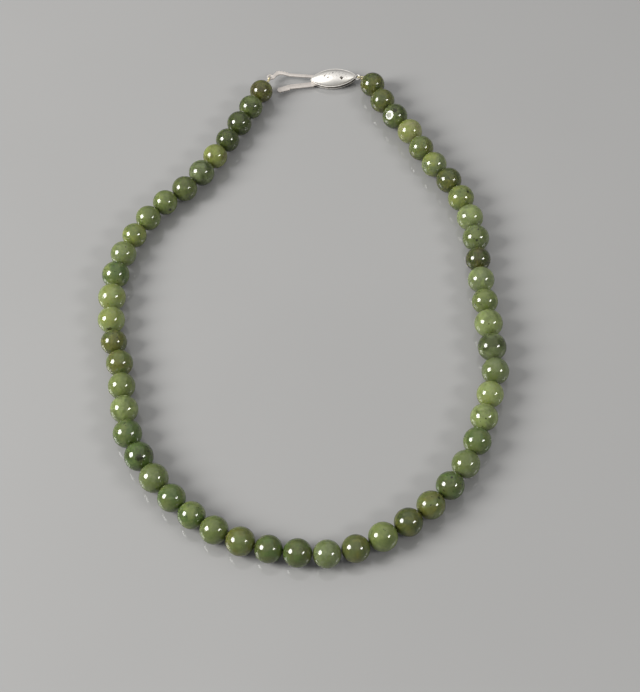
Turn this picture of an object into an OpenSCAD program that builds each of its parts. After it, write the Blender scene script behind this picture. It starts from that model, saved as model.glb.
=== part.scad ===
// Jade bead necklace, lying in a loose egg-shaped loop with its clasp at the back
// Origin: the middle of the bounding box, on the surface that the beads rest on
// +X right, +Y away towards the clasp, +Z up, all in millimetres

/* [Beads] */
// Diameter of a middling bead
bead_d = 8.08; // [7.8:0.02:8.4]
// Drilled hole through each bead
bore_d = 1.15; // [1:0.05:1.3]
// Clear space between neighbouring beads
bead_gap = 0.03; // [0.02:0.01:0.1]

/* [String] */
// Thickness of the silk thread
thread_d = 0.5; // [0.4:0.05:0.6]
// Thickness of the wound wire tube that guards the thread at each end
gimp_d = 0.44; // [0.4:0.02:0.46]
// Middle radius of the wound loop round the clasp's rings
gimp_r = 0.62; // [0.61:0.01:0.66]

/* [Clasp body] */
// Length from tip to tip
body_len = 15.2; // [14.4:0.1:16]
// Width across the middle
body_w = 6.9; // [6.6:0.1:7.4]
// Radius of its rounded tips
tip_r = 1.25; // [1.1:0.05:1.4]
// Height of the engraved front dome above its rim
front_h = 2.1; // [1.6:0.1:2.4]
// Height of the plain back dome below its rim
back_h = 1.1; // [1:0.1:1.5]
// Thickness of each rim plate
rim_t = 0.3; // [0.2:0.05:0.4]
// How far a rim stands proud of the wall and of the domes
rim_lip = 0.25; // [0.15:0.05:0.35]
// Height of the wall between the two rims
wall_h = 1.05; // [1:0.05:1.2]
// Thickness of the sheet metal
sheet_t = 0.45; // [0.4:0.05:0.5]
// Length of the wall cut away for the hook, from the tip
mouth_len = 4.2; // [4.2:0.1:4.6]
// Outer diameter of the end ring and of the hook's eye
ring_d = 2.1; // [2:0.05:2.2]
// Wire of the end ring
ring_wire = 0.5; // [0.4:0.05:0.5]

/* [Clasp hook] */
// Thickness of the stamped strip
hook_t = 0.5; // [0.4:0.05:0.55]
// Width of the leg that carries the eye
eye_leg_w = 1.05; // [1:0.05:1.2]
// Width of the free leg outside the body
free_leg_w = 1.65; // [1.5:0.05:1.7]
// Middle radius of the bend that joins the legs inside the body
bend_r = 0.75; // [0.7:0.05:0.8]
// Pitch of the grip notches
grip_pitch = 0.8; // [0.7:0.05:0.9]

/* [How it lies] */
// Turn of the clasp about the vertical
clasp_turn = -5; // [-6:1:-4]
// Lift of the ring end of the body
clasp_lift = 3; // [2:1:4]
// Roll of the clasp towards the inside of the loop
clasp_roll = 13; // [11:1:15]
// Upward pitch of the hook in the mouth
hook_pitch = 5.5; // [5:0.5:6]

/* [Hidden] */

// The string starts at the clasp's ring, comes down the right side, round the front and up the left side
bead_n = 53;
right_n = 26;

// Beads that are off the middling size, in groups: [difference in diameter, bead numbers]
off_sizes = [
    [-0.4, [11, 44, 50, 53]],
    [-0.2, [13, 17, 25, 26, 28, 31, 39, 45, 46, 49, 52]],
    [0.2, [3, 8, 9, 10, 24, 29, 36, 40, 48]],
    [0.4, [14, 15, 33, 34, 35, 41, 42]]
];

// The lie of the string: [bead number, heading towards the next bead]
// Headings turn evenly between the rows. 0 is +X and -90 is towards the front.
lie = [
    [1, -72], [3, -60], [4, -70], [6, -62], [8, -78], [10, -93], [12, -90], [15, -92],
    [16, -109], [18, -112], [20, -130], [22, -146], [24, -161], [26, -188], [28, -202],
    [30, -221], [34, -248], [35, -264], [37, -266], [38, -258], [39, -265], [41, -278],
    [43, -296], [46, -323], [48, -305], [52, -300]
];

// Shade of each bead in turn: b brown, d dark, m middling, g vivid, s greyish, y yellowish, p pale
shade_of = "omdpmpdmpsbpopdsypmsosdymsmgyymmsdmpmdbppdpydgmsobmdd";
shades = [
    ["b", [0.20, 0.21, 0.10]], ["d", [0.20, 0.29, 0.14]], ["m", [0.29, 0.38, 0.20]],
    ["g", [0.25, 0.42, 0.17]], ["s", [0.38, 0.46, 0.31]], ["o", [0.37, 0.40, 0.18]],
    ["y", [0.48, 0.53, 0.30]], ["p", [0.46, 0.58, 0.38]]
];

function total(v, i = 0) = i < len(v) ? v[i] + total(v, i + 1) : 0;
function unit(v) = v / norm(v);
function off_size(n) = total([for (g = off_sizes) for (b = g[1]) b == n ? g[0] : 0]);

bead_r = [for (n = [1:bead_n]) (bead_d + off_size(n)) / 2];
heading = [for (n = [1:bead_n - 1]) lookup(n, lie)];

// Bead middles measured from the first bead, each bead resting on the surface
function walk(i) = i == 0 ? [[0, 0, bead_r[0]]] :
    let (done = walk(i - 1), step = bead_r[i - 1] + bead_r[i] + bead_gap, a = heading[i - 1])
    concat(done, [[done[i - 1][0] + step * cos(a), done[i - 1][1] + step * sin(a), bead_r[i]]]);
bead_at = walk(bead_n - 1);

// Clasp body: a front and a back sheet with a wall between, its middle plane half way up the wall
half_len = body_len / 2;
half_w = body_w / 2;
// Where the round tips have their middles
tip_at = half_len - tip_r;
// Both sides are arcs of this radius, with their middles this far across the long axis
side_r = (tip_at * tip_at + half_w * half_w - tip_r * tip_r) / (2 * (half_w - tip_r));
side_off = side_r - half_w;
// Where the side arcs run into the tips' arcs, on the oval drawn in by inset
function tip_from(inset) = tip_at * (side_r - inset) / (side_r - tip_r);
// Half the oval's width at x
function oval_w(inset, x) = abs(x) < tip_from(inset) ?
    sqrt(pow(side_r - inset, 2) - x * x) - side_off :
    sqrt(max(pow(tip_r - inset, 2) - pow(abs(x) - tip_at, 2), 0));
rim_z = wall_h / 2 + rim_t;
dome_inset = rim_lip + 0.03;
inner_inset = rim_lip + sheet_t;
// How fast the dome's ridge comes down to the tips: 1 is full, 2 is lean
ridge_power = 1.35;
// A dome is round across, turned about a line this far below its edge
function dome_w(inset) = half_w - inset;
function dome_sink(inset, h) = (dome_w(inset) * dome_w(inset) - h * h) / (2 * h);
// The back dome touches the surface at its lowest point, wherever the lift and the roll put it
back_sink = dome_sink(dome_inset, back_h);
ridge_r = (side_r - dome_inset) * dome_w(dome_inset) / (back_h * ridge_power);
roll_drop = back_sink + back_h - (back_sink - rim_z) * cos(clasp_roll);
clasp_z = ridge_r - (ridge_r - roll_drop) * cos(clasp_lift);
// Middle of the body, measured from the first bead
clasp_at = [-12.7, 6.3];
ring_r = (ring_d - ring_wire) / 2;
ring_x = half_len + ring_r - ring_wire / 2;

// Hook: points are [out of the mouth, across towards the eye leg] from the middle of the mouth
mouth_x = 5.5;
bend_at = [-6.2, -0.15];
bend_w = 1;
eye_leg_end = [9.5, 2.2];
// The free leg is narrow inside the body and full width from its shoulder out
free_shoulder = [1.7, -1.7];
free_leg_end = [9.1, -2.45];
eye = [15.95, 1.5];
// The eye leg's end widens to a grip plate, and turns back to the middle in a neck
eye_plate = [
    [8.8, 1.65], [9.5, 2.65], [9.9, 3.05], [11, 3.45], [11.9, 3.65], [12.9, 3.8], [13.6, 3.7],
    [15.2, 2], [15.2, 1.05], [14.65, 0.7], [13.8, 1.95], [12.9, 2.4], [11.6, 2.35], [10.4, 2]
];
// The free leg's end widens to a grip plate with a round tip
free_plate = [[8.9, -1.7], [9.9, -1.8], [12.95, -2.8], [12.4, -4.45], [9.35, -3.7], [9.1, -3.2]];
free_tip = [12.6, -3.6];
free_tip_r = 0.92;
// The free leg's catch, behind the wall inside the body
catch_tooth = [[-4.2, -1.4], [-2.5, -1.6], [-2.6, -2.15], [-3.3, -2.33]];
notch_r = 0.16;

right_ring = on_clasp([ring_x, 0, 0]);
left_ring = on_clasp(hook_point(eye));

// Points carried from the clasp's own frame to the necklace's
function turn_x(p, a) = [p[0], p[1] * cos(a) - p[2] * sin(a), p[1] * sin(a) + p[2] * cos(a)];
function turn_y(p, a) = [p[0] * cos(a) + p[2] * sin(a), p[1], p[2] * cos(a) - p[0] * sin(a)];
function turn_z(p, a) = [p[0] * cos(a) - p[1] * sin(a), p[0] * sin(a) + p[1] * cos(a), p[2]];
function clasp_dir(p) = turn_z(turn_y(turn_x(p, clasp_roll), -clasp_lift), clasp_turn);
function on_clasp(p) = clasp_dir(p) + [clasp_at[0], clasp_at[1], clasp_z];
function hook_point(p, up = 0) = turn_y([-p[0], p[1], up], hook_pitch) - [mouth_x, 0, 0];

// Each bore runs midway between the ways to its two neighbours, but in an end bead mostly along the string
string_at = concat([right_ring], bead_at, [left_ring]);
end_share = 3;
bore_dir = [for (i = [0:bead_n - 1])
    let (from = unit(string_at[i + 1] - string_at[i]), to = unit(string_at[i + 2] - string_at[i + 1]))
    unit((i == bead_n - 1 ? end_share : 1) * from + (i == 0 ? end_share : 1) * to)];

// The thread leaves each end bead a little way, to meet the wound loops
tail = 0.1;
loop_gap = 0.25;
thread_path = concat(
    [bead_at[0] - (bead_r[0] + tail) * bore_dir[0]],
    [for (i = [0:bead_n - 2])
        (bead_at[i] + bead_r[i] * bore_dir[i] + bead_at[i + 1] - bead_r[i + 1] * bore_dir[i + 1]) / 2],
    [bead_at[bead_n - 1] + (bead_r[bead_n - 1] + tail) * bore_dir[bead_n - 1]]
);

// Where each wound loop's legs end, just outside its bead
right_end = bead_at[0] - (bead_r[0] + tail + loop_gap) * bore_dir[0];
left_end = bead_at[bead_n - 1] + (bead_r[bead_n - 1] + tail + loop_gap) * bore_dir[bead_n - 1];

// The bounding box in plan: beads in front and at the sides, the eye leg's plate at the back
min_x = min([for (i = [0:bead_n - 1]) bead_at[i][0] - bead_r[i]]);
max_x = max([for (i = [0:bead_n - 1]) bead_at[i][0] + bead_r[i]]);
min_y = min([for (i = [0:bead_n - 1]) bead_at[i][1] - bead_r[i]]);
max_y = max([for (p = eye_plate) on_clasp(hook_point(p, -hook_t / 2))[1]]);
origin = [(min_x + max_x) / 2, (min_y + max_y) / 2, 0];

// One drilled bead, its bore along the string
module bead(i) {
    b = bore_dir[i];
    translate(bead_at[i] - origin)
        rotate([0, acos(b[2]), atan2(b[1], b[0])])
            difference() {
                sphere(r = bead_r[i], $fn = 64);
                cylinder(d = bore_d, h = bead_d * 1.5, center = true, $fn = 32);
            }
}

module beads(first, last) {
    for (n = [first:last])
        color(shades[search(shade_of[n - 1], shades)[0]][1]) bead(n - 1);
}

// A tube with flat sides swept along a path that lies close to the level
module swept_tube(path, d, sides) {
    n = len(path);
    points = [for (k = [0:n - 1])
        let (along = path[min(k + 1, n - 1)] - path[max(k - 1, 0)], h = atan2(along[1], along[0]))
        for (j = [0:sides - 1])
            let (q = 360 * (j + 0.5) / sides)
            path[k] - origin + d / 2 * [-sin(h) * cos(q), cos(h) * cos(q), sin(q)]];
    walls = [for (k = [0:n - 2]) for (j = [0:sides - 1])
        let (a = k * sides + j, b = k * sides + (j + 1) % sides)
        [a, a + sides, b + sides, b]];
    polyhedron(points, concat([[for (j = [0:sides - 1]) j]], walls,
        [[for (j = [sides - 1:-1:0]) (n - 1) * sides + j]]), convexity = 10);
}

module thread() {
    color([0.42, 0.43, 0.28]) swept_tube(thread_path, thread_d, 8);
}

// Wound wire loop round a ring's wire: the ring's middle, the ring's axis and where the two legs end
module gimp(ring, ring_axis, end) {
    across = end - ring - ((end - ring) * ring_axis) * ring_axis;
    hold = ring + ring_r * unit(across);
    x = unit(end - hold);
    z = unit(ring_axis - (ring_axis * x) * x);
    y = cross(z, x);
    reach = norm(end - hold);
    // The legs are a little thicker than the loop and stand just clear of each other
    leg_over = 0.02;
    leg_off = gimp_d / 2 + leg_over;
    leg_lap = 0.03;
    // Angle on the loop where each leg runs off it at a tangent
    a = atan2(leg_off, reach) + acos(gimp_r / norm([reach, leg_off]));
    leg = (reach - gimp_r * cos(a)) / sin(a);
    color([0.75, 0.66, 0.38])
        multmatrix([[x[0], y[0], z[0], hold[0] - origin[0]], [x[1], y[1], z[1], hold[1] - origin[1]],
            [x[2], y[2], z[2], hold[2]]])
            rotate([90, 0, 0]) {
                rotate([0, 0, a])
                    rotate_extrude(angle = 360 - 2 * a, $fn = 48)
                        translate([gimp_r, 0]) circle(d = gimp_d, $fn = 24);
                for (side = [-1, 1])
                    rotate([0, 0, side * a]) translate([gimp_r, 0, 0])
                        rotate([side * 90, 0, 0]) translate([0, 0, -leg_lap])
                            cylinder(d = gimp_d + leg_over, h = leg + leg_lap, $fn = 24);
            }
}

module gimp_right() {
    gimp(right_ring, clasp_dir([0, 0, 1]), right_end);
}

module gimp_left() {
    gimp(left_ring, clasp_dir(turn_y([0, 0, 1], hook_pitch)), left_end);
}

// The clasp's outline, two side arcs and two rounded tips, drawn in from its edge by inset
module oval(inset) {
    intersection() {
        translate([0, side_off]) circle(r = side_r - inset, $fn = 180);
        translate([0, -side_off]) circle(r = side_r - inset, $fn = 180);
        square([2 * tip_from(inset), body_w], center = true);
    }
    for (side = [-1, 1]) translate([side * tip_at, 0]) circle(r = tip_r - inset, $fn = 90);
}

// Smooth dome of height h on the inset oval: a turned shape cut off by the oval's outline
module dome(inset, h) {
    over = 0.03;
    sink = dome_sink(inset - over, h);
    half_x = half_len - inset + over;
    steps = 12;
    profile = [for (k = [-steps:steps])
        let (x = half_x * sin(90 * k / steps))
        [sink + h * pow(oval_w(inset - over, x) / dome_w(inset - over), ridge_power), x]];
    intersection() {
        linear_extrude(h + 1) oval(inset);
        translate([0, 0, -sink]) rotate([0, 90, 0])
            rotate_extrude($fn = 90) polygon(concat([[0, -half_x]], profile, [[0, half_x]]));
    }
}

module on_clasp_frame() {
    translate([clasp_at[0], clasp_at[1], clasp_z] - origin)
        rotate([0, 0, clasp_turn]) rotate([0, -clasp_lift, 0]) rotate([clasp_roll, 0, 0]) children();
}

// Outside of the body before it is hollowed: wall, two rim plates and two domes
module clasp_outside() {
    translate([0, 0, -rim_z]) linear_extrude(rim_z * 2) oval(rim_lip);
    translate([0, 0, wall_h / 2]) linear_extrude(rim_t) oval(0);
    translate([0, 0, -rim_z]) linear_extrude(rim_t) oval(0);
    translate([0, 0, rim_z]) dome(dome_inset, front_h);
    translate([0, 0, -rim_z]) mirror([0, 0, 1]) dome(dome_inset, back_h);
}

module clasp_hollow() {
    lap = 0.03;
    dome_in = inner_inset + lap;
    translate([0, 0, -rim_z]) linear_extrude(rim_z * 2) oval(inner_inset);
    translate([0, 0, rim_z - lap]) dome(dome_in, front_h - sheet_t + lap);
    translate([0, 0, lap - rim_z]) mirror([0, 0, 1]) dome(dome_in, back_h - sheet_t + lap);
}

// The wall is cut away round the near tip, which leaves a mouth between the rims
module clasp_mouth() {
    translate([-half_len, -half_w, -wall_h / 2]) cube([mouth_len, body_w, wall_h]);
}

module clasp_body() {
    color([0.78, 0.77, 0.75]) on_clasp_frame() {
        difference() {
            clasp_outside();
            clasp_hollow();
            clasp_mouth();
        }
        translate([ring_x, 0, 0])
            rotate_extrude($fn = 48) translate([ring_r, 0]) circle(d = ring_wire, $fn = 24);
    }
}

// Straight strip of sheet from a to b, with its width at each end
module strip(a, b, wa, wb) {
    side = unit([a[1] - b[1], b[0] - a[0]]);
    linear_extrude(hook_t)
        polygon([a + side * wa / 2, b + side * wb / 2, b - side * wb / 2, a - side * wa / 2]);
}

// Grip notches evenly along an edge that runs from a to b
module notches(a, b) {
    n = round(norm(b - a) / grip_pitch);
    for (k = [1:n]) translate(concat(a + (b - a) * (k - 0.5) / n, [-1]))
        cylinder(r = notch_r, h = hook_t + 2, $fn = 16);
}

// U-shaped spring: a bend and two straight legs
module hook_legs() {
    leg_off = [0, bend_r];
    translate(bend_at) rotate_extrude(angle = 190, start = 85, $fn = 48)
        translate([bend_r - bend_w / 2, 0]) square([bend_w, hook_t]);
    strip(bend_at + leg_off, eye_leg_end, bend_w, eye_leg_w);
    strip(bend_at - leg_off, free_shoulder, bend_w, bend_w);
    translate(free_shoulder) cylinder(d = free_leg_w, h = hook_t, $fn = 48);
    strip(free_shoulder, free_leg_end, free_leg_w, free_leg_w);
    linear_extrude(hook_t) polygon(catch_tooth);
}

module hook_eye_plate() {
    difference() {
        linear_extrude(hook_t) polygon(eye_plate);
        for (k = [2:5]) notches(eye_plate[k], eye_plate[k + 1]);
    }
    translate(eye) difference() {
        cylinder(d = ring_d, h = hook_t, $fn = 48);
        translate([0, 0, -1]) cylinder(d = ring_d - 2 * ring_wire, h = hook_t + 2, $fn = 32);
    }
}

module hook_free_plate() {
    difference() {
        union() {
            linear_extrude(hook_t) polygon(free_plate);
            translate(free_tip) cylinder(r = free_tip_r, h = hook_t, $fn = 32);
        }
        notches(free_plate[4], free_plate[3]);
    }
}

// One stamped piece, drawn from the front with its eye to the right, then turned over to the left
module clasp_hook() {
    color([0.80, 0.78, 0.74]) on_clasp_frame()
        translate([-mouth_x, 0, 0]) rotate([0, hook_pitch, 0])
            mirror([1, 0, 0]) translate([0, 0, -hook_t / 2]) {
                hook_legs();
                hook_eye_plate();
                hook_free_plate();
            }
}

beads(1, right_n);  // beads_right
beads(right_n + 1, bead_n);  // beads_left
thread();
gimp_right();
gimp_left();
clasp_body();
clasp_hook();
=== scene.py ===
# Jade bead necklace: polished jade beads on silk, wound gilt loops and a silver fish-hook clasp
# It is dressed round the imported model, in metres, and lies on the floor at z = 0
import random
from math import acos, atan2, cos, hypot, pi, radians, sin, sqrt

import bmesh
import bpy
import numpy as np
from mathutils import Matrix, Vector, noise


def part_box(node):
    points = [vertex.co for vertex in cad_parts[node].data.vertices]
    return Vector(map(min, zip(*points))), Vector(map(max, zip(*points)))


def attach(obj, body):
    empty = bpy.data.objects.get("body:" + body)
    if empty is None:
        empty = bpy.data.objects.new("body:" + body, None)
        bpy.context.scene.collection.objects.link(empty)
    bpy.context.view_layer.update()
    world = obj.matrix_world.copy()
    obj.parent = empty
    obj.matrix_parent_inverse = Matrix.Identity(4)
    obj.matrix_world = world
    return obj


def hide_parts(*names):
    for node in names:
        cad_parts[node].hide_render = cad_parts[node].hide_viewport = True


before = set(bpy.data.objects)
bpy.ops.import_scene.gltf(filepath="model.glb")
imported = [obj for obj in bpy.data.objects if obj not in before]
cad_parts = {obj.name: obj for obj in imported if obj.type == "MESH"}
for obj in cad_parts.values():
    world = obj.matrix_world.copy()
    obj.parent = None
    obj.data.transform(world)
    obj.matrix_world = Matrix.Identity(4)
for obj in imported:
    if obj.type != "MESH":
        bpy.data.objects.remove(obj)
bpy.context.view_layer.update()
bodyName = "root"
mm = 0.001
print("frame loaded:", ", ".join(sorted(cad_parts)))


# Camera, at the height and the angle that the necklace is seen from

cameraSet = {
    "place": (5.4 * mm, -264.57 * mm, 365.0 * mm),
    "dip": 56.03,  # degrees below the level, looking along +Y
    "roll": -5.63,
    "focal": 76.63,  # for the long side of a 36 mm film
}


def makeCamera():
    data = bpy.data.cameras.new("camera")
    data.lens = cameraSet["focal"]
    data.clip_start = 0.01
    camera = bpy.data.objects.new("camera", data)
    tip = Matrix.Rotation(radians(90 - cameraSet["dip"]), 4, "X")
    roll = Matrix.Rotation(radians(cameraSet["roll"]), 4, "Z")
    camera.matrix_world = Matrix.Translation(cameraSet["place"]) @ tip @ roll
    bpy.context.scene.collection.objects.link(camera)
    bpy.context.scene.camera = camera
    return camera


camera = makeCamera()
bpy.context.view_layer.update()
cameraRight = camera.matrix_world.col[0].to_3d()
print("camera placed")


# Small tools for pieces and for materials


def finishPiece(name, bm, material, nodes, sharpAngle=None):
    mesh = bpy.data.meshes.new(name)
    bm.to_mesh(mesh)
    bm.free()
    mesh.shade_smooth()
    if sharpAngle:
        mesh.set_sharp_from_angle(angle=radians(sharpAngle))
    mesh.materials.append(material)
    piece = bpy.data.objects.new(name, mesh)
    bpy.context.scene.collection.objects.link(piece)
    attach(piece, bodyName)
    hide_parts(*nodes)
    print(f"{name}: {sum(len(p.vertices) - 2 for p in mesh.polygons)} triangles")


def newMaterial(name, **sockets):
    material = bpy.data.materials.new(name)
    material.use_nodes = True
    shader = material.node_tree.nodes["Principled BSDF"]
    for socket, value in sockets.items():
        shader.inputs[socket.replace("_", " ")].default_value = value
    return material, shader


def addNode(material, kind, inputs=None, **settings):
    node = material.node_tree.nodes.new(kind)
    for name, value in settings.items():
        setattr(node, name, value)
    for socket, value in (inputs or {}).items():
        if isinstance(value, bpy.types.NodeSocket):
            material.node_tree.links.new(value, node.inputs[socket])
        else:
            node.inputs[socket].default_value = value
    return node


def join(material, source, target):
    material.node_tree.links.new(source, target)


def noiseOf(material, vector, scale, detail=3.0, rough=0.5, distortion=0.0):
    inputs = {
        "Vector": vector,
        "Scale": scale,
        "Detail": detail,
        "Roughness": rough,
        "Distortion": distortion,
    }
    return addNode(material, "ShaderNodeTexNoise", inputs).outputs["Fac"]


def ramp(material, value, low, high, toLow=0.0, toHigh=1.0):
    inputs = {"Value": value, "From Min": low, "From Max": high, "To Min": toLow, "To Max": toHigh}
    node = addNode(material, "ShaderNodeMapRange", inputs, interpolation_type="SMOOTHSTEP")
    return node.outputs["Result"]


def mathOf(material, operation, first, second):
    return addNode(material, "ShaderNodeMath", {0: first, 1: second}, operation=operation).outputs[0]


def blendColours(material, factor, first, second, mode="MIX"):
    node = addNode(material, "ShaderNodeMix", data_type="RGBA", blend_type=mode)
    for index, value in ((0, factor), (6, first), (7, second)):
        if isinstance(value, bpy.types.NodeSocket):
            join(material, value, node.inputs[index])
        elif index == 0:
            node.inputs[index].default_value = value
        else:
            node.inputs[index].default_value = (*value, 1)
    return node.outputs[2]


def attribute(material, name, output="Vector"):
    return addNode(material, "ShaderNodeAttribute", attribute_name=name).outputs[output]


def objectPlace(material):
    return addNode(material, "ShaderNodeTexCoord").outputs["Object"]


def scaled(material, vector, scale):
    return addNode(material, "ShaderNodeMapping", {"Vector": vector, "Scale": scale}).outputs[0]


def bumped(material, shader, height, distance, strength=1.0):
    inputs = {"Height": height, "Distance": distance, "Strength": strength}
    join(material, addNode(material, "ShaderNodeBump", inputs).outputs["Normal"], shader.inputs["Normal"])


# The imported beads: each one's middle, radius and drilled way, in order along the string


def looseSolids(node):
    bm = bmesh.new()
    bm.from_mesh(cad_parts[node].data)
    bmesh.ops.remove_doubles(bm, verts=bm.verts, dist=1e-6)
    left = set(bm.verts)
    solids = []
    while left:
        found = {left.pop()}
        fresh = found
        while fresh:
            fresh = {e.other_vert(v) for v in fresh for e in v.link_edges} - found
            found = found | fresh
        left -= found
        solids.append(measureBead(found))
    bm.free()
    return solids


def measureBead(verts):
    points = np.array(sorted(tuple(v.co) for v in verts))
    middle = points.mean(0)
    local = points - middle
    fit = np.linalg.lstsq(np.c_[2 * local, np.ones(len(local))], (local**2).sum(1), rcond=None)[0]
    radius = sqrt(fit[3] + fit[:3] @ fit[:3])
    middle = Vector(middle + fit[:3])
    wall = [f for f in {f for v in verts for f in v.link_faces}
            if (f.calc_center_median() - middle).dot(f.normal) < 0]
    rim = sorted({v for f in wall for v in f.verts}, key=lambda v: tuple(v.co))
    first = rim[0].co - middle
    ends = [[v.co for v in rim if ((v.co - middle).dot(first) > 0) is side] for side in (True, False)]
    one, other = (sum(e, Vector()) / len(e) for e in ends)
    return {"middle": middle, "radius": radius, "drill": (one - other).normalized()}


def inOrder(solids, start):
    chain = []
    while solids:
        nearest = min(solids, key=lambda s: (s["middle"] - start).length)
        solids.remove(nearest)
        chain.append(nearest)
        start = nearest["middle"]
    return chain


def nodeMiddle(node):
    low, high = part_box(node)
    return (low + high) / 2


rightBeads = inOrder(looseSolids("beads_right"), nodeMiddle("gimp_right"))
leftBeads = inOrder(looseSolids("beads_left"), rightBeads[-1]["middle"])
beads = rightBeads + leftBeads
stringWays = [nodeMiddle("gimp_right")] + [b["middle"] for b in beads] + [nodeMiddle("gimp_left")]
for number, bead in enumerate(beads):
    if bead["drill"].dot(stringWays[number + 2] - stringWays[number]) < 0:
        bead["drill"] = -bead["drill"]
print(f"{len(beads)} beads read from the frame")


# Jade

jadeSet = {
    # Tones of the stones: b brown, d dark, l low green, m middling, g vivid, s greyish, o olive,
    # h high green, y yellowish, c cream, p pale, k the black flecks
    "tones": {
        "b": (0.057, 0.055, 0.014),
        "d": (0.046, 0.061, 0.015),
        "l": (0.071, 0.087, 0.025),
        "m": (0.101, 0.129, 0.039),
        "g": (0.066, 0.103, 0.026),
        "s": (0.123, 0.152, 0.066),
        "o": (0.097, 0.103, 0.021),
        "h": (0.138, 0.171, 0.053),
        "y": (0.170, 0.198, 0.053),
        "c": (0.205, 0.214, 0.088),
        "p": (0.184, 0.227, 0.083),
        "k": (0.016, 0.016, 0.005),
    },
    # Each bead's ground and its clouds, from the clasp's ring round to the hook
    "stones": (
        "od lo md cy mo sy do my ps ms "
        "bd sp mh pm ds sm py pm mg ms "
        "gl mo do hm lo ms lg lg om mm "
        "gh gm ms gd gm mp hm mo ol py "
        "py gh hs ym mh mh lm sd yo dd "
        "dd dm bo"
    ).split(),
    # The stone's noises: patches to a millimetre and detail, then roughness and distortion if any
    "noises": {
        "cloud": (0.26, 3, 0.55, 0.5),
        "streak": (0.42, 4, 0.6, 0.6),
        "curd": (1.1, 5, 0.62),
        "fleck": (0.95, 3, 0.45),
        "markEdge": (1.6, 3),
        "polish": (0.8, 3),
        "ripple": (0.5, 1),
    },
    # What is made of each: between which two values it counts, and from what to what if not 0 to 1
    "shares": {
        "cloud": (0.38, 0.66),
        "streak": (0.50, 0.70),
        "curd": (0.35, 0.7, 0.0, 0.30),
        "fleck": (0.71, 0.78, 0.0, 0.8),
        "mark": (0.95, 1.60, 0.90, 0.0),
        "roughness": (0.3, 0.75, 0.05, 0.085),
    },
    "streakTone": (0.50, 0.60, 0.42),
    "streakDraw": (1.5, 1.5, 0.35),  # streaks are long one way
    "mottle": 0.18,  # strength of the streaks
    "fleckMottle": 0.5,  # how much stronger they are in a flecked stone
    "curdTone": (1.55, 1.45, 1.5),
    "fleck": 0.12,  # how readily black flecks show in a stone
    "fleckLift": 0.11,  # how much of that is added to the flecks' noise
    "dull": 0.34,  # how much rougher the unpolished spot is
    "ripple": 0.01 * mm,
    "grainSeed": 7,
    "grainStep": (11.3, -7.1, 5.7),  # from one stone's grain to the next one's
}

# Stones with more flecks than the rest
fleckedBeads = {8: 0.6, 10: 0.7, 13: 0.5, 16: 0.4, 21: 0.6, 22: 0.7, 31: 0.5, 35: 0.7, 39: 0.6, 42: 0.8}


def makeJade():
    material, shader = newMaterial(
        "polished_jade",
        IOR=1.61,
        Subsurface_Weight=0.85,
        Subsurface_Radius=(0.8, 1.0, 0.45),
        Subsurface_Scale=1.3 * mm,
    )
    noises, shares = jadeSet["noises"], jadeSet["shares"]
    grain = attribute(material, "stoneGrain")
    ground = attribute(material, "stoneGround", "Color")
    cloud = attribute(material, "stoneCloud", "Color")
    flecks = attribute(material, "stoneFlecks", "Fac")
    clouds = ramp(material, noiseOf(material, grain, *noises["cloud"]), *shares["cloud"])
    colour = blendColours(material, clouds, ground, cloud)
    drawn = scaled(material, grain, jadeSet["streakDraw"])
    streaks = ramp(material, noiseOf(material, drawn, *noises["streak"]), *shares["streak"])
    mottle = mathOf(material, "MULTIPLY", flecks, jadeSet["fleckMottle"])
    mottle = mathOf(material, "ADD", mottle, jadeSet["mottle"])
    streaked = mathOf(material, "MULTIPLY", streaks, mottle)
    colour = blendColours(material, streaked, colour, jadeSet["streakTone"], "MULTIPLY")
    curds = ramp(material, noiseOf(material, grain, *noises["curd"]), *shares["curd"])
    colour = blendColours(material, curds, colour, jadeSet["curdTone"], "MULTIPLY")
    lift = mathOf(material, "MULTIPLY", flecks, jadeSet["fleckLift"])
    specks = mathOf(material, "ADD", noiseOf(material, grain, *noises["fleck"]), lift)
    specks = ramp(material, specks, *shares["fleck"])
    mark = {0: attribute(material, "stoneMark")}
    fromMark = addNode(material, "ShaderNodeVectorMath", mark, operation="LENGTH").outputs["Value"]
    ragged = mathOf(material, "ADD", fromMark, noiseOf(material, grain, *noises["markEdge"]))
    dark = mathOf(material, "MAXIMUM", specks, ramp(material, ragged, *shares["mark"]))
    colour = blendColours(material, dark, colour, jadeSet["tones"]["k"])
    join(material, colour, shader.inputs["Base Color"])
    polish = ramp(material, noiseOf(material, grain, *noises["polish"]), *shares["roughness"])
    dull = mathOf(material, "MULTIPLY", attribute(material, "stoneDull", "Fac"), jadeSet["dull"])
    join(material, mathOf(material, "ADD", polish, dull), shader.inputs["Roughness"])
    bumped(material, shader, noiseOf(material, grain, *noises["ripple"]), jadeSet["ripple"], 0.3)
    return material


# Marks that one stone has and the rest don't, read from the camera's side: how far right and up of the
# bead's middle, in radii, how wide, in radii, and how deep
stoneMarks = {
    # bead 3's pit: the dark fleck tone here is partly dark stone and partly painted shade deep in the pit
    3: (0.05, 0.45, 0.23, 0.22 * mm),
    8: (0.52, 0.48, 0.15, 0.0),
    10: (0.08, -0.16, 0.12, 0.0),
    14: (0.02, -0.05, 0.06, 0.03 * mm),
    18: (0.12, -0.10, 0.07, 0.03 * mm),
    21: (0.12, 0.55, 0.12, 0.04 * mm),
    22: (0.55, 0.50, 0.14, 0.0),
    34: (0.0, -0.08, 0.29, 0.0),
    40: (-0.10, -0.75, 0.30, 0.0),
    46: (0.40, -0.60, 0.18, 0.08 * mm),
    51: (-0.62, 0.05, 0.20, 0.0),
}

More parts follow.
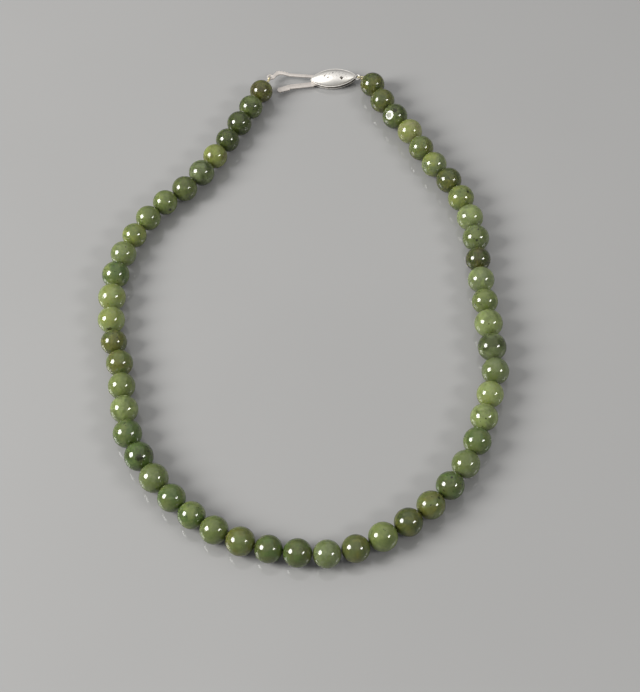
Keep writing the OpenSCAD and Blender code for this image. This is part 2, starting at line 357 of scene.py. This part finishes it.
beadSet = {
    "sides": 60,
    "rings": 30,
    "gap": 0.03 * mm,  # between a bead and the next
    "bore": 0.575 * mm,  # radius of the drilled hole
    "lip": 0.11 * mm,  # rounding of its edge
    "uneven": 0.02 * mm,  # deepest hollow left by the hand polish
    "lumps": 0.33,  # hollows to a millimetre
    "flatBead": 3,  # this bead has a spot ground flat
    "flatPlace": (-0.485, 0.11),
    "flatDepth": 0.25 * mm,  # ground off at its middle
    "flatCurve": 14 * mm,  # the spot is still a little domed
    "flatBlend": 0.05 * mm,  # how softly it runs into the ball
    "flatDull": 0.98 * mm,  # radius of its unpolished middle
    "dullEdge": 0.12,  # share of that over which it fades
    "flatFine": 2.3 * mm,  # reach of the finer mesh round it
    "markFine": 2.2,  # the same round a pit, in its own widths
    "noMark": (9, 9, 9),  # too far off to show
}


def seenPlace(bead, across, up):
    # the way from a bead's middle to the spot that the camera sees there
    toCamera = (camera.matrix_world.translation - bead["middle"]).normalized()
    right = (cameraRight - cameraRight.dot(toCamera) * toCamera).normalized()
    return across * right + up * toCamera.cross(right) + sqrt(1 - across**2 - up**2) * toCamera


def drilledBall(bead):
    # a ball with its poles opened, joined through by a hole with rounded lips
    bm = bmesh.new()
    radius, bore = bead["radius"], beadSet["bore"] + beadSet["lip"] / 2
    made = bmesh.ops.create_uvsphere(
        bm, u_segments=beadSet["sides"], v_segments=beadSet["rings"], radius=radius
    )
    poles = [v for v in made["verts"] if hypot(v.co.x, v.co.y) < 1e-7]
    bmesh.ops.delete(bm, geom=poles, context="VERTS")
    rims = [e for e in bm.edges if e.is_boundary]
    height = sqrt(radius**2 - bore**2)
    for v in {v for e in rims for v in e.verts}:
        end = Vector((0, 0, height if v.co.z > 0 else -height))
        v.co = Vector((v.co.x, v.co.y, 0)).normalized() * bore + end
    bmesh.ops.bridge_loops(bm, edges=rims)
    bmesh.ops.bevel(
        bm, geom=rims, offset=beadSet["lip"], segments=3, profile=0.5, affect="EDGES", material=-1
    )
    return bm


def refine(bm, place, reach):
    # a finer mesh round a place on the ball
    near = [e for e in bm.edges if ((e.verts[0].co + e.verts[1].co) / 2 - place).length < reach]
    bmesh.ops.subdivide_edges(bm, edges=near, cuts=3, use_grid_fill=True)


def groundReach(way, direction, full):
    # how far the stone reaches along a way when one spot of it is ground nearly flat
    curve, blend = beadSet["flatCurve"], beadSet["flatBlend"]
    back = curve - (full - beadSet["flatDepth"])
    slant = back * way.dot(direction)
    flat = sqrt(max(slant**2 + curve**2 - back**2, 0)) - slant
    return (full + flat - sqrt((full - flat) ** 2 + blend**2)) / 2


def makeBead(number, bead):
    bm = drilledBall(bead)
    stand = bead["drill"].to_track_quat("Z", "Y").to_matrix()
    radius, uneven = bead["radius"], beadSet["uneven"]
    away = Vector([number * step for step in jadeSet["grainStep"]])
    mark = stoneMarks.get(number)
    deep = 0.0
    if mark:
        place = stand.transposed() @ seenPlace(bead, *mark[:2]) * radius
        wide, deep = mark[2] * radius, mark[3]
        if deep:
            refine(bm, place, beadSet["markFine"] * wide)
    ground = number == beadSet["flatBead"]
    if ground:
        flatWay = stand.transposed() @ seenPlace(bead, *beadSet["flatPlace"])
        refine(bm, flatWay * radius, beadSet["flatFine"])
    # hand polish: shallow hollows, inwards only, kept off the drilled hole
    dull = bm.verts.layers.float.new("stoneDull")
    for v in bm.verts:
        if hypot(v.co.x, v.co.y) > 2 * beadSet["bore"]:
            way = v.co.normalized()
            hollow = 0.5 + 0.5 * noise.noise(v.co / mm * beadSet["lumps"] + away)
            reach = radius - uneven * hollow
            if deep:
                reach -= deep * max(0.0, 1 - ((v.co - place).length / wide) ** 2)
            if ground:
                reach = groundReach(way, flatWay, reach)
                fromSpot = (v.co - flatWay * radius).length / beadSet["flatDull"]
                v[dull] = min(max((1 + beadSet["dullEdge"] - fromSpot) / (2 * beadSet["dullEdge"]), 0), 1)
            v.co = way * reach
    chooser = random.Random(jadeSet["grainSeed"] + number)
    turn = Vector([chooser.uniform(-1, 1) for _ in range(4)]).normalized()
    turn = Matrix.Rotation(acos(turn[3]) * 2, 3, turn.to_3d().normalized())
    grain = bm.verts.layers.float_vector.new("stoneGrain")
    markLayer = bm.verts.layers.float_vector.new("stoneMark")
    groundLayer = bm.verts.layers.float_color.new("stoneGround")
    cloud = bm.verts.layers.float_color.new("stoneCloud")
    flecks = bm.verts.layers.float.new("stoneFlecks")
    groundTone, cloudTone = (jadeSet["tones"][letter] for letter in jadeSet["stones"][number - 1])
    for v in bm.verts:
        v[grain] = turn @ v.co / mm + away
        v[markLayer] = (v.co - place) / wide if mark else Vector(beadSet["noMark"])
        v[groundLayer] = (*groundTone, 1)
        v[cloud] = (*cloudTone, 1)
        v[flecks] = fleckedBeads.get(number, jadeSet["fleck"])
    bmesh.ops.transform(bm, matrix=Matrix.Translation(bead["middle"]) @ stand.to_4x4(), verts=bm.verts)
    mesh = bpy.data.meshes.new(f"bead_{number}")
    bm.to_mesh(mesh)
    bm.free()
    return mesh


def stringOfBeads(name, numbers, node):
    bm = bmesh.new()
    for number in numbers:
        mesh = makeBead(number, beads[number - 1])
        bm.from_mesh(mesh)
        bpy.data.meshes.remove(mesh)
    finishPiece(name, bm, jade, [node])


jade = makeJade()
stringOfBeads("jade_beads_right", range(1, len(rightBeads) + 1), "beads_right")
stringOfBeads("jade_beads_left", range(len(rightBeads) + 1, len(beads) + 1), "beads_left")
print("beads made")


# Clasp: a front and a back sheet, each with its rim, a wall between them, and an end ring

claspSet = {
    # in millimetres and degrees, as the solid clasp is
    "length": 15.2,
    "width": 6.9,
    "tipRadius": 1.25,
    "frontHeight": 2.1,
    "backHeight": 1.1,
    "rimThick": 0.3,
    "rimLip": 0.25,
    "domeGap": 0.03,
    "wallHeight": 1.05,
    "sheet": 0.45,
    "mouth": 4.2,
    "ringRadius": 0.8,
    "ringWire": 0.5,
    "turn": -5,
    "lift": 3,
    "roll": 13,
    "wallHold": 0.05,  # how far the wall runs into each rim
    "steps": 200,  # mesh steps along a sheet
    "across": 96,
    "innerAcross": 8,
    "wallSteps": 180,
    "ringSides": 20,
    "ringSteps": 48,
    "sharp": 38,  # an edge steeper than this stays sharp
    "insideDark": 0.6,  # painted shade on the inner side of a sheet
}
tipPlace = claspSet["length"] / 2 - claspSet["tipRadius"]
tipNarrow = claspSet["width"] / 2 - claspSet["tipRadius"]
sideRadius = tipNarrow / 2 + tipPlace**2 / (2 * tipNarrow) + claspSet["tipRadius"]
sideOffset = sideRadius - claspSet["width"] / 2
rimHeight = claspSet["wallHeight"] / 2 + claspSet["rimThick"]
domeInset = claspSet["rimLip"] + claspSet["domeGap"]
innerInset = claspSet["rimLip"] + claspSet["sheet"]
ridgePower = 1.35  # how quickly the dome's ridge falls towards the tips
ringMiddleX = claspSet["length"] / 2 + claspSet["ringRadius"] - claspSet["ringWire"] / 2
claspTurn = (
    Matrix.Rotation(radians(claspSet["turn"]), 4, "Z")
    @ Matrix.Rotation(radians(-claspSet["lift"]), 4, "Y")
    @ Matrix.Rotation(radians(claspSet["roll"]), 4, "X")
)

# Bright-cut leaves on the front, in pairs along a waving stem; lengths in millimetres
leafSet = {
    "starts": (-4.6, -3.5, -2.4, -1.3, -0.2, 0.9, 2.0, 3.1, 4.2),
    "wave": 0.35,
    "waveTurn": 1.1,
    "offStem": 0.12,
    "heading": 58,  # degrees from the stem
    "lean": 3,  # so much less for each millimetre from the middle
    "mouthLean": 4,
    "length": 1.5,
    "shorter": 0.14,  # for each millimetre from the middle
    "half": 0.10,
    "deep": 0.05,
}
# Deeper cuts of the graver: where each starts, which way it points in degrees, and its length
deepCut = {
    "strokes": [(-3.0, -0.6, 52, 1.3), (-1.7, -1.3, 60, 1.0), (0.0, 0.6, 50, 0.5)],
    "half": 0.26,
    "deep": 0.13,
}
cutBow = 0.08  # how far a cut bows, as a share of its length
cutPoint = 0.35  # its width at its ends, as a share of the width at its middle
cutDark = 0.07  # a cut so deep is dark all over
punchDot = {"place": (2.95, -1.1), "radius": 0.7, "depth": 0.2}
# The groove between the dome and its rim
rimGroove = {"width": 0.18, "depth": 0.05, "tarnish_and_shade": 0.6}
# Painted shade, faint, on the dome's far slope, by the distance over it in widths
farSlopeShade = {"rise": 3, "less": 0.55, "most": 0.25}


def leafStroke(x, side):
    wide = abs(x)
    start = leafSet["wave"] * sin(leafSet["waveTurn"] * x) + side * leafSet["offStem"]
    heading = side * (leafSet["heading"] - leafSet["lean"] * wide) + (0 if x > 0 else leafSet["mouthLean"])
    return x, start, heading, leafSet["length"] - leafSet["shorter"] * wide


leafStrokes = [leafStroke(x, side) for x in leafSet["starts"] for side in (1, -1)]


def ovalWidth(inset, x):
    # half the width at x of the oval drawn in by inset: two side arcs that run into round tips
    if abs(x) < tipPlace * (sideRadius - inset) / (sideRadius - claspSet["tipRadius"]):
        return sqrt((sideRadius - inset) ** 2 - x**2) - sideOffset
    return sqrt(max((claspSet["tipRadius"] - inset) ** 2 - (abs(x) - tipPlace) ** 2, 0))


def ovalPlace(inset, along, side):
    # along runs from -1 at the mouth to 1 at the ring
    x = (claspSet["length"] / 2 - inset) * sin(pi / 2 * along)
    return x, side * ovalWidth(inset, x)


def domeHeight(inset, height, x, y):
    widest = claspSet["width"] / 2 - inset
    sink = (widest**2 - height**2) / (2 * height)
    ridge = sink + height * (ovalWidth(inset, x) / widest) ** ridgePower
    return sqrt(max(ridge**2 - y**2, 0)) - sink


def strokeDepth(x, y, stroke, half, deep):
    startX, startY, heading, length = stroke
    dx, dy = x - startX, y - startY
    c, s = cos(radians(heading)), sin(radians(heading))
    along, off = (dx * c + dy * s) / length, dy * c - dx * s
    if not 0 < along < 1:
        return 0.0
    # nothing at the ends of the cut, and 1 at its middle
    swell = 1 - (2 * along - 1) ** 2
    bow = cutBow * length * swell
    narrowed = half * (cutPoint + (1 - cutPoint) * swell)
    return deep * swell * max(0.0, 1 - abs(off - bow) / narrowed)


def engraving(x, y):
    cut = max(strokeDepth(x, y, s, leafSet["half"], leafSet["deep"]) for s in leafStrokes)
    cut = max(cut, max(strokeDepth(x, y, s, deepCut["half"], deepCut["deep"]) for s in deepCut["strokes"]))
    away = (abs(x - punchDot["place"][0]) + abs(y - punchDot["place"][1])) / punchDot["radius"]
    return max(cut, punchDot["depth"] * max(0.0, 1 - away**2))


def domedGrid(bm, inset, height, level, across, engraved):
    made = bmesh.ops.create_grid(bm, x_segments=claspSet["steps"], y_segments=across, size=1)
    along = bm.verts.layers.float["along"]
    side = bm.verts.layers.float["side"]
    tarnish_and_shade = bm.verts.layers.float["tarnish_and_shade"]
    for v in made["verts"]:
        v[along], v[side] = v.co.x, v.co.y
        x, w = ovalPlace(inset, v.co.x, 1)
        y = v.co.y * w
        cut, v[tarnish_and_shade] = 0.0, claspSet["insideDark"]
        if engraved:
            groove = max(0, 1 - (w - abs(y)) / rimGroove["width"])
            # painted shade, darkening the dome's far slope
            farSideShade = y / claspSet["width"] * farSlopeShade["rise"] - farSlopeShade["less"]
            farSideShade = min(max(farSideShade, 0), farSlopeShade["most"])
            cut = engraving(x, y)
            # dark in the engraved cuts and the groove, with painted shade on the far slope
            v[tarnish_and_shade] = max(min(cut / cutDark, 1), groove * rimGroove["tarnish_and_shade"], farSideShade)
            cut += groove * rimGroove["depth"]
        v.co = Vector((x, y, level + domeHeight(inset, height, x, y) - cut))
    bmesh.ops.remove_doubles(bm, verts=made["verts"], dist=1e-5)


def stepTo(bm, edges, inset, level, tarnish_and_shade=0.0):
    # carries an open edge on to the oval at another inset and height
    made = bmesh.ops.extrude_edge_only(bm, edges=edges)["geom"]
    along = bm.verts.layers.float["along"]
    side = bm.verts.layers.float["side"]
    dark = bm.verts.layers.float["tarnish_and_shade"]
    for v in (g for g in made if isinstance(g, bmesh.types.BMVert)):
        x, y = ovalPlace(inset, v[along], v[side])
        v.co = Vector((x, y, level))
        v[dark] = tarnish_and_shade
    return [g for g in made if isinstance(g, bmesh.types.BMEdge)]


def claspMesh():
    bm = bmesh.new()
    for name in ("along", "side", "tarnish_and_shade"):
        bm.verts.layers.float.new(name)
    return bm


def sheetWithRim(height, engraved):
    # one domed sheet, closed by its inner side: over the dome, round the rim and back inside
    bm = claspMesh()
    domedGrid(bm, domeInset, height, rimHeight, claspSet["across"], engraved)
    edges = [e for e in bm.edges if e.is_boundary]
    under = claspSet["wallHeight"] / 2
    course = [
        # inset, height and darkening of each fold: darker down in the groove, and painted shade under the
        # rim and up its inner side
        (domeInset, rimHeight - 0.07, 0.9),
        (domeInset - 0.04, rimHeight - 0.03, 0.4),
        (0.1, rimHeight, 0.0),
        (0.02, rimHeight - 0.035, 0.0),
        (0.0, rimHeight - 0.1, 0.0),
        (0.0, under + 0.08, 0.0),
        (0.03, under + 0.01, 0.2),
        (0.09, under, 0.5),
        (innerInset, under, 0.9),
        (innerInset, rimHeight, 0.9),
    ]
    for inset, level, tarnish_and_shade in course:
        edges = stepTo(bm, edges, inset, level, tarnish_and_shade)
    domedGrid(bm, innerInset, height - claspSet["sheet"], rimHeight, claspSet["innerAcross"], False)
    bmesh.ops.remove_doubles(bm, verts=bm.verts, dist=1e-4)
    bmesh.ops.recalc_face_normals(bm, faces=bm.faces)
    return bm


def wallBand():
    # the wall between the rims, cut away round the mouth, dark all over as painted shade
    bm = claspMesh()
    along, side, dark = (bm.verts.layers.float[n] for n in ("along", "side", "tarnish_and_shade"))
    reach = claspSet["wallHeight"] / 2 + claspSet["wallHold"]
    made = bmesh.ops.create_circle(bm, segments=claspSet["wallSteps"], radius=1)
    for v in made["verts"]:
        v[along], v[side] = v.co.x, (1 if v.co.y > 0 else -1) if abs(v.co.y) > 1e-6 else 0
        x, y = ovalPlace(claspSet["rimLip"], v[along], v[side])
        v.co, v[dark] = Vector((x, y, -reach)), 1.0
    first = bm.edges[:]
    edges = stepTo(bm, first, claspSet["rimLip"], reach, 1.0)
    edges = stepTo(bm, edges, innerInset, reach, 1.0)
    edges = stepTo(bm, edges, innerInset, -reach, 1.0)
    bmesh.ops.bridge_loops(bm, edges=first + edges)
    bmesh.ops.bisect_plane(
        bm, geom=bm.verts[:] + bm.edges[:] + bm.faces[:], plane_no=(-1, 0, 0),
        plane_co=(claspSet["mouth"] - claspSet["length"] / 2, 0, 0), clear_outer=True,
    )
    bmesh.ops.holes_fill(bm, edges=[e for e in bm.edges if e.is_boundary], sides=0)
    bmesh.ops.recalc_face_normals(bm, faces=bm.faces)
    return bm


def endRing():
    bm = claspMesh()
    made = bmesh.ops.create_circle(bm, segments=claspSet["ringSides"], radius=claspSet["ringWire"] / 2)
    stand = Matrix.Translation((claspSet["ringRadius"], 0, 0)) @ Matrix.Rotation(pi / 2, 4, "X")
    bmesh.ops.transform(bm, matrix=stand, verts=made["verts"])
    bmesh.ops.spin(
        bm, geom=bm.verts[:] + bm.edges[:], axis=(0, 0, 1), cent=(0, 0, 0), angle=2 * pi,
        steps=claspSet["ringSteps"], use_merge=True,
    )
    bmesh.ops.translate(bm, vec=(ringMiddleX, 0, 0), verts=bm.verts)
    bmesh.ops.recalc_face_normals(bm, faces=bm.faces)
    return bm


def makeClaspBody():
    parts = [sheetWithRim(claspSet["frontHeight"], True), sheetWithRim(claspSet["backHeight"], False)]
    bmesh.ops.scale(parts[1], vec=(1, 1, -1), verts=parts[1].verts)
    bmesh.ops.reverse_faces(parts[1], faces=parts[1].faces)
    parts += [wallBand(), endRing()]
    bm = bmesh.new()
    for part in parts:
        mesh = bpy.data.meshes.new("part")
        part.to_mesh(mesh)
        part.free()
        bm.from_mesh(mesh)
        bpy.data.meshes.remove(mesh)
    bmesh.ops.transform(bm, matrix=claspTurn @ Matrix.Scale(mm, 4), verts=bm.verts)
    # the solid clasp's box says where the middle is
    low, high = (Vector([pick(v.co[i] for v in bm.verts) for i in range(3)]) for pick in (min, max))
    middle = nodeMiddle("clasp_body") - (low + high) / 2
    bmesh.ops.translate(bm, vec=middle, verts=bm.verts)
    finishPiece("silver_clasp_body", bm, silver, ["clasp_body"], claspSet["sharp"])
    return middle


silverSet = {
    "satin_silver": {"colour": (0.88, 0.855, 0.82), "rough": (0.52, 0.62)},
    "matte_silver": {"colour": (0.74, 0.69, 0.65), "rough": (0.48, 0.56)},
    "handled": 0.84,  # brightness of the silver where it is handled most
    # the dark colour laid on as tarnish and as painted shade
    "tarnish_and_shade": (0.075, 0.062, 0.050),
    "scratch": 0.012 * mm,
    "scratchDraw": (1.2, 9.0, 1.2),  # scratches lie close together one way and are long the others
    # Its noises and what is made of each, as for the jade
    "noises": {"handling": (0.7, 5, 0.6), "patch": (1.3, 4), "scratch": (1.6, 3, 0.6)},
    "shares": {"shade": (0.3, 0.75), "patch": (0.25, 0.6, 0.55, 1.0), "wear": (0.3, 0.8)},
}


def makeSilver(name):
    material, shader = newMaterial(name, Metallic=1.0)
    colour = silverSet[name]["colour"]
    noises, shares = silverSet["noises"], silverSet["shares"]
    place = scaled(material, objectPlace(material), (1 / mm, 1 / mm, 1 / mm))
    handling = noiseOf(material, place, *noises["handling"])
    shade = ramp(material, handling, *shares["shade"])
    clean = blendColours(material, shade, colour, tuple(c * silverSet["handled"] for c in colour))
    patches = ramp(material, noiseOf(material, place, *noises["patch"]), *shares["patch"])
    # tarnish_and_shade lays the dark colour on in patches: tarnish in the engraved cuts, darker in the
    # rim's groove, and painted shade on the wall, under the rims, inside the sheets and on the dome's far
    # slope
    patchy = mathOf(material, "MULTIPLY", attribute(material, "tarnish_and_shade", "Fac"), patches)
    tarnishedAndShaded = blendColours(material, patchy, clean, silverSet["tarnish_and_shade"])
    join(material, tarnishedAndShaded, shader.inputs["Base Color"])
    wear = ramp(material, handling, *shares["wear"], *silverSet[name]["rough"])
    join(material, wear, shader.inputs["Roughness"])
    drawn = scaled(material, place, silverSet["scratchDraw"])
    scratches = noiseOf(material, drawn, *noises["scratch"])
    bumped(material, shader, scratches, silverSet["scratch"], 0.6)
    return material


silver = makeSilver("satin_silver")
hookSilver = makeSilver("matte_silver")
claspMiddle = makeClaspBody()
print("clasp body made")


# Hook: one stamped piece, its edges eased

hookSet = {
    "easing": 0.05 * mm,  # rounding of its edges
    "eased": 60,  # degrees, past which an edge is eased
    "sharp": 50,
    "pitch": 5.5,  # degrees that the hook dips out of the clasp
    "pivotX": 5.5,  # millimetres from the clasp's middle
    "eye": (15.95, 1.5),  # its middle, along and across from there
}


def makeHook():
    bm = bmesh.new()
    bm.from_mesh(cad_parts["clasp_hook"].data)
    bmesh.ops.remove_doubles(bm, verts=bm.verts, dist=1e-6)
    bmesh.ops.dissolve_limit(bm, angle_limit=radians(1), verts=bm.verts, edges=bm.edges)
    sharp = [e for e in bm.edges if e.is_manifold and e.calc_face_angle(0) > radians(hookSet["eased"])]
    bmesh.ops.bevel(
        bm, geom=sharp, offset=hookSet["easing"], segments=2, profile=0.5, affect="EDGES",
        material=-1, clamp_overlap=True,
    )
    finishPiece("silver_clasp_hook", bm, hookSilver, ["clasp_hook"], hookSet["sharp"])


makeHook()
print("hook made")


# Wound gilt wire loops, one at each end of the string

giltSet = {
    # in millimetres
    "across": 0.44,  # over the winding
    "wire": 0.07,  # radius of the fine wire
    "pitch": 0.15,
    "loopRadius": 0.62,
    "legGap": 0.02,
    "stepsToATurn": 12,
    "arcSteps": 40,
    "tones": ((0.78, 0.70, 0.44), (0.64, 0.57, 0.36)),  # bright and worn
    # Its wear, as for the jade
    "wearNoise": (1.8, 4),
    "wearShare": (0.35, 0.7),
}


def loopCourse(ring, ringAxis, end):
    # the loop's middle line: in from the bead, round the ring's wire and back
    out = end - ring
    flat = (out - out.dot(ringAxis) * ringAxis).normalized()
    hold = ring + claspSet["ringRadius"] * mm * flat
    x = (end - hold).normalized()
    z = (ringAxis - ringAxis.dot(x) * x).normalized()
    reach, off = (end - hold).length / mm, giltSet["across"] / 2 + giltSet["legGap"]
    turn = atan2(off, reach) + acos(giltSet["loopRadius"] / hypot(reach, off))
    points = [(reach, off)]
    for k in range(giltSet["arcSteps"] + 1):
        a = turn + (2 * pi - 2 * turn) * k / giltSet["arcSteps"]
        points.append((giltSet["loopRadius"] * cos(a), giltSet["loopRadius"] * sin(a)))
    points.append((reach, -off))
    return [hold + (a * x + b * z) * mm for a, b in points], x.cross(z)


def alongCourse(points, step):
    # even places along a broken line, with the way it runs there
    total = sum((b - a).length for a, b in zip(points, points[1:]))
    count = int(total / step)
    places, done, index = [], 0.0, 0
    for k in range(count + 1):
        goal = total * k / count
        while index < len(points) - 2 and done + (points[index + 1] - points[index]).length < goal:
            done += (points[index + 1] - points[index]).length
            index += 1
        piece = points[index + 1] - points[index]
        share = min((goal - done) / piece.length, 1)
        places.append((points[index] + piece * share, piece.normalized(), goal))
    return places


def wireMesh(bm, courses, radius):
    # round wire along each course
    data = bpy.data.curves.new("wire", "CURVE")
    data.dimensions = "3D"
    data.bevel_depth = radius
    data.bevel_resolution = 1
    data.use_fill_caps = True
    for course in courses:
        spline = data.splines.new("POLY")
        spline.points.add(len(course) - 1)
        for point, place in zip(spline.points, course):
            point.co = (*place, 1)
    holder = bpy.data.objects.new("wire", data)
    bpy.context.scene.collection.objects.link(holder)
    mesh = bpy.data.meshes.new_from_object(holder.evaluated_get(bpy.context.evaluated_depsgraph_get()))
    bm.from_mesh(mesh)
    bpy.data.objects.remove(holder)
    bpy.data.meshes.remove(mesh)


def makeGiltLoop(name, node, ring, ringAxis, end):
    course, sideways = loopCourse(ring, ringAxis, end)
    pitch, wire = giltSet["pitch"] * mm, giltSet["wire"] * mm
    wound = []
    for place, way, gone in alongCourse(course, pitch / giltSet["stepsToATurn"]):
        other = way.cross(sideways)
        angle = 2 * pi * gone / pitch
        reach = giltSet["across"] / 2 * mm - wire
        wound.append(place + reach * (cos(angle) * sideways + sin(angle) * other))
    bm = bmesh.new()
    wireMesh(bm, [wound], wire)
    finishPiece(name, bm, gilt, [node])


def makeGilt():
    material, shader = newMaterial("gilt_wire", Metallic=1.0, Roughness=0.42)
    place = scaled(material, objectPlace(material), (1 / mm, 1 / mm, 1 / mm))
    worn = ramp(material, noiseOf(material, place, *giltSet["wearNoise"]), *giltSet["wearShare"])
    colour = blendColours(material, worn, *giltSet["tones"])
    join(material, colour, shader.inputs["Base Color"])
    return material


def claspPlace(x, y, z):
    return claspMiddle + claspTurn.to_3x3() @ Vector((x, y, z)) * mm


gilt = makeGilt()
hookTurn = Matrix.Rotation(radians(hookSet["pitch"]), 3, "Y")
eyePlace = hookTurn @ Vector((-hookSet["eye"][0], hookSet["eye"][1], 0)) - Vector((hookSet["pivotX"], 0, 0))
rightEnd = beads[0]["middle"] - beads[0]["drill"] * (beads[0]["radius"] + beadSet["gap"])
leftEnd = beads[-1]["middle"] + beads[-1]["drill"] * (beads[-1]["radius"] + beadSet["gap"])
makeGiltLoop(
    "gilt_loop_right", "gimp_right", claspPlace(ringMiddleX, 0, 0),
    claspTurn.to_3x3() @ Vector((0, 0, 1)), rightEnd,
)
makeGiltLoop(
    "gilt_loop_left", "gimp_left", claspPlace(*eyePlace),
    claspTurn.to_3x3() @ hookTurn @ Vector((0, 0, 1)), leftEnd,
)
print("gilt loops made")


# Silk thread, three plies twisted together through all the beads

silkSet = {
    # in millimetres
    "plyRadius": 0.12,
    "layRadius": 0.13,  # from the thread's middle to a ply's
    "pitch": 1.5,
    "stepsToATurn": 9,
    "tones": ((0.20, 0.21, 0.08), (0.33, 0.32, 0.15)),  # of its fibres
    # Its fibres, as for the jade
    "fibreDraw": (6, 6, 14),
    "fibreNoise": (1.2, 3),
    "fibreShare": (0.35, 0.7),
    "fibreRelief": 0.03,
}


def makeSilk():
    material, shader = newMaterial("olive_silk", Roughness=0.62, Sheen_Weight=0.35, Sheen_Roughness=0.4)
    place = scaled(material, objectPlace(material), (1 / mm, 1 / mm, 1 / mm))
    fibres = noiseOf(material, scaled(material, place, silkSet["fibreDraw"]), *silkSet["fibreNoise"])
    shade = ramp(material, fibres, *silkSet["fibreShare"])
    join(material, blendColours(material, shade, *silkSet["tones"]), shader.inputs["Base Color"])
    bumped(material, shader, fibres, silkSet["fibreRelief"] * mm, 0.7)
    return material


def makeThread():
    course = [beads[0]["middle"] - beads[0]["drill"] * beads[0]["radius"]]
    for one, two in zip(beads, beads[1:]):
        out, back = one["drill"] * one["radius"], two["drill"] * two["radius"]
        course.append((one["middle"] + out + two["middle"] - back) / 2)
    course.append(beads[-1]["middle"] + beads[-1]["drill"] * beads[-1]["radius"])
    pitch = silkSet["pitch"] * mm
    plies = [[], [], []]
    for place, way, gone in alongCourse(course, pitch / silkSet["stepsToATurn"]):
        side = Vector((-way.y, way.x, 0)).normalized()
        rise = way.cross(side)
        for number, ply in enumerate(plies):
            angle = 2 * pi * (gone / pitch + number / 3)
            ply.append(place + silkSet["layRadius"] * mm * (cos(angle) * side + sin(angle) * rise))
    bm = bmesh.new()
    wireMesh(bm, plies, silkSet["plyRadius"] * mm)
    finishPiece("silk_thread", bm, makeSilk(), ["thread"])


makeThread()
print("thread made")


# Floor and studio light

studioSet = {
    "floorSize": 4.0,
    "floorTone": (0.29, 0.29, 0.29),
    "floorDarker": 0.96,  # its faint patches, against the rest
    "floorNoise": (6, 4),  # as for the jade, but patches to a metre
    "floorShare": (0.3, 0.7),
    "floorRough": 0.05,
    "sky": (0.80, 0.81, 0.83),
    "skyStrength": 0.3,
    "lampColour": (1.0, 0.985, 0.955),
    "lamps": {
        # place and size in metres; long is the way that the second size runs
        "oval_softbox": {
            "place": (-0.835, -0.081, 0.604), "size": (0.56, 0.57), "watts": 15,
            "long": (0.26, 0.67, 0.45), "oval": True,
        },
        "strip_softbox": {
            "place": (0.934, -0.530, 0.784), "size": (0.20, 0.46), "watts": 6,
            "long": (0.61, 0.76, -0.22),
        },
        "ceiling": {"place": (0, 0.5, 1.3), "size": (2.6, 3.2), "watts": 12, "level": True},
    },
}


def makeFloor():
    bm = bmesh.new()
    bmesh.ops.create_grid(bm, x_segments=8, y_segments=8, size=studioSet["floorSize"] / 2)
    mesh = bpy.data.meshes.new("floor")
    bm.to_mesh(mesh)
    bm.free()
    material, shader = newMaterial("pale_floor", Roughness=studioSet["floorRough"], IOR=1.6)
    place = objectPlace(material)
    mottle = noiseOf(material, place, *studioSet["floorNoise"])
    mottle = ramp(material, mottle, *studioSet["floorShare"])
    tone = studioSet["floorTone"]
    colour = blendColours(material, mottle, tone, tuple(c * studioSet["floorDarker"] for c in tone))
    join(material, colour, shader.inputs["Base Color"])
    mesh.materials.append(material)
    floor = bpy.data.objects.new("floor", mesh)
    bpy.context.scene.collection.objects.link(floor)


def makeLamp(name, lamp):
    data = bpy.data.lights.new(name, "AREA")
    data.shape = "ELLIPSE" if lamp.get("oval") else "RECTANGLE"
    data.size, data.size_y = lamp["size"]
    data.energy = lamp["watts"]
    data.color = studioSet["lampColour"]
    holder = bpy.data.objects.new(name, data)
    place = Vector(lamp["place"])
    z = Vector((0, 0, 1)) if lamp.get("level") else place.normalized()
    x = Vector(lamp.get("long", (0, 1, 0))).cross(z).normalized()
    holder.matrix_world = Matrix.Translation(place) @ Matrix((x, z.cross(x), z)).transposed().to_4x4()
    holder.visible_camera = False
    bpy.context.scene.collection.objects.link(holder)


def makeSky():
    world = bpy.data.worlds.new("studio")
    bpy.context.scene.world = world
    world.use_nodes = True
    sky = world.node_tree.nodes["Background"]
    sky.inputs["Color"].default_value = (*studioSet["sky"], 1)
    sky.inputs["Strength"].default_value = studioSet["skyStrength"]


makeFloor()
for lampName, lamp in studioSet["lamps"].items():
    makeLamp(lampName, lamp)
makeSky()
bpy.context.scene.view_settings.view_transform = "Standard"
print("floor and lights set")
